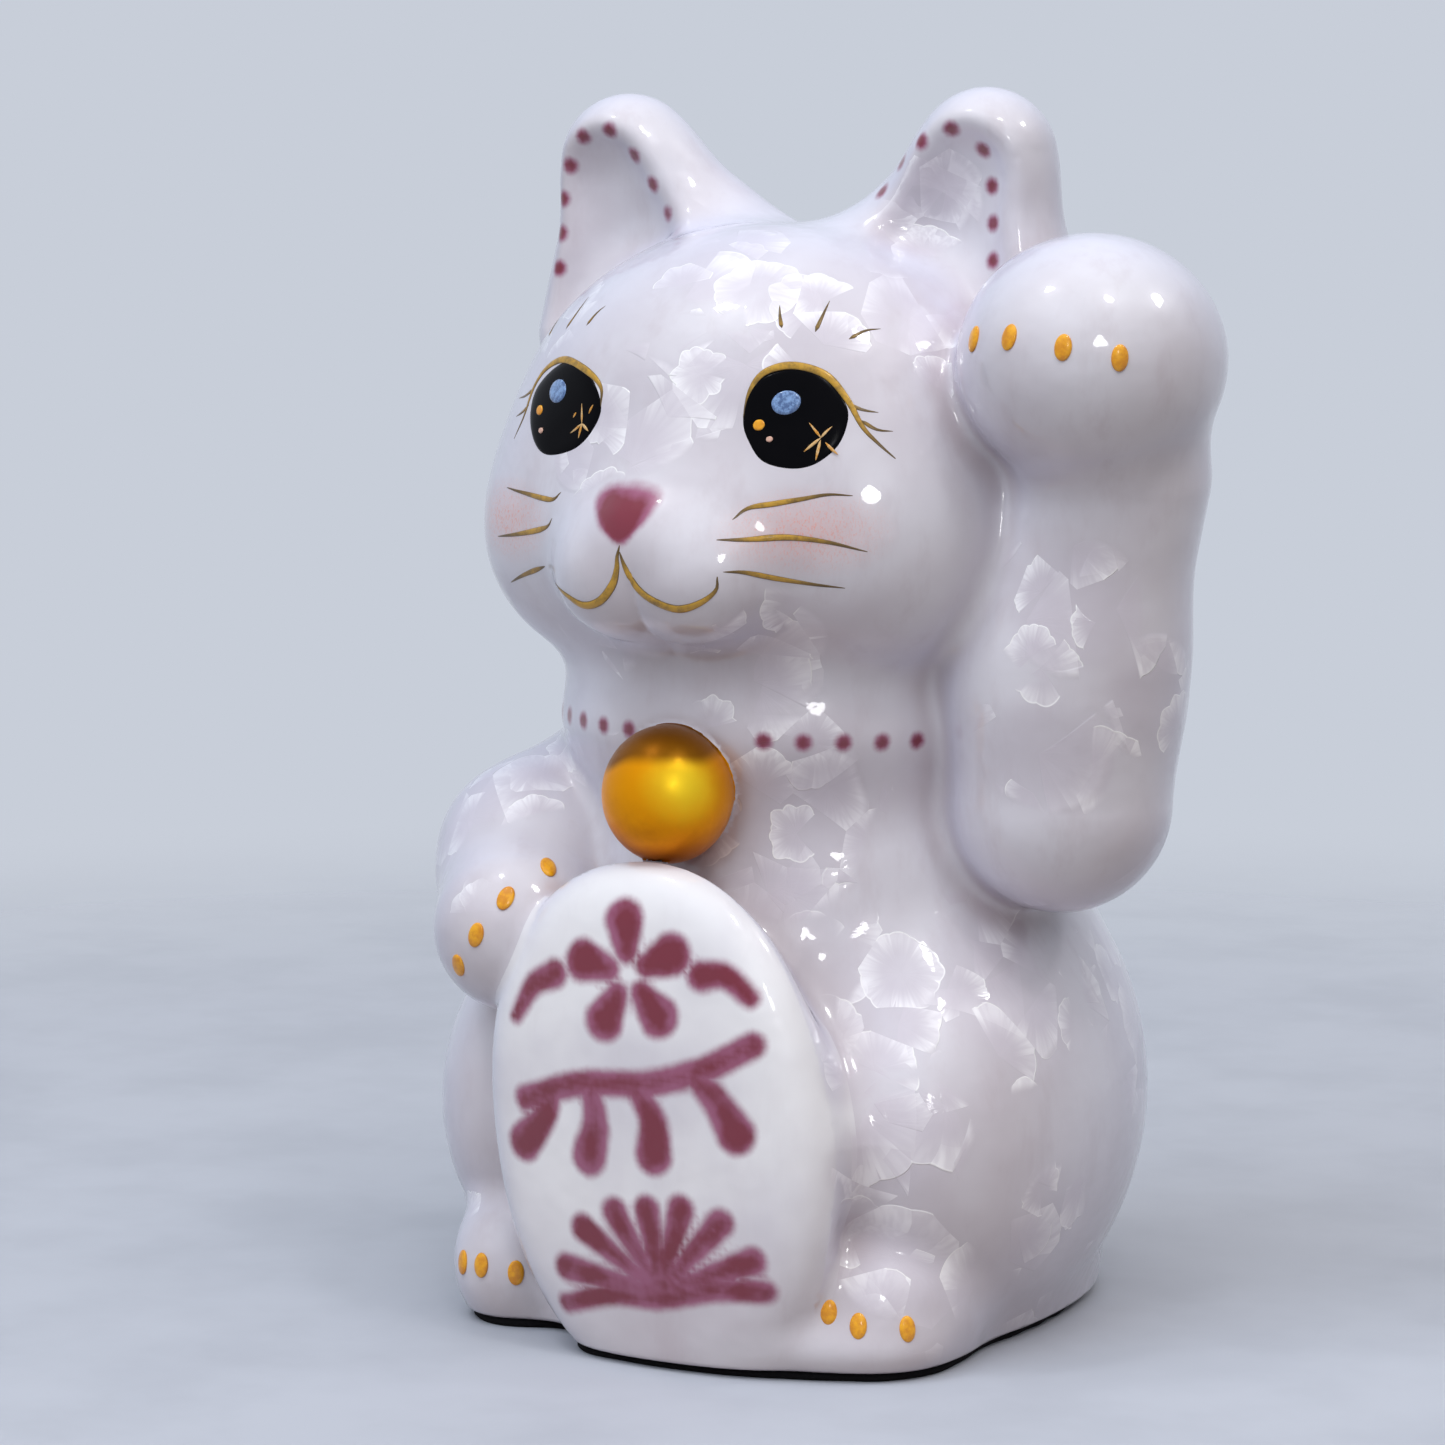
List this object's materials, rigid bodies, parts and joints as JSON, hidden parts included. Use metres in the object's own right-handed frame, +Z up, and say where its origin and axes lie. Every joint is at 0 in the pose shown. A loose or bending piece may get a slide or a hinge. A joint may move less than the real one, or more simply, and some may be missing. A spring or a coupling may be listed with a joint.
{
  "type": "cat figurine",
  "caption": "Seated porcelain cat with one paw raised, an oval plaque under the other and a bell at its collar; a hollow shelf ornament on a felt pad.",
  "frame": {"origin": "middle of the resting face, under the felt pad", "axes": "+Z up, the cat faces -Y, +X is the cat's left, the side of the raised paw"},
  "size_m": [0.0954, 0.0875, 0.1403],
  "materials": {
    "glaze": "glossy white porcelain under a pearly lilac crystalline glaze",
    "plaque_glaze": "glossy pearl glaze over blurred purple underglaze brushwork",
    "gold_lustre": "satin gold lustre fired on porcelain",
    "black_enamel": "glossy black overglaze enamel",
    "gold_enamel": "glossy mustard gold overglaze enamel",
    "felt": "matt black pressed felt"
  },
  "bodies": {
    "root": {"felt_pad": "felt", "closing_plate": "glaze", "body_casting": "glaze", "head_casting": "glaze", "ear_left": "glaze", "ear_right": "glaze", "raised_arm": "glaze", "lowered_arm": "glaze", "foot_left": "glaze", "foot_right": "glaze", "bobtail": "glaze", "plaque": "plaque_glaze", "bell": "gold_lustre", "eye_left": "black_enamel", "eye_right": "black_enamel", "claws_raised_paw": "gold_enamel", "claws_lowered_paw": "gold_enamel", "claws_foot_left": "gold_enamel", "claws_foot_right": "gold_enamel"}
  },
  "joints": []
}
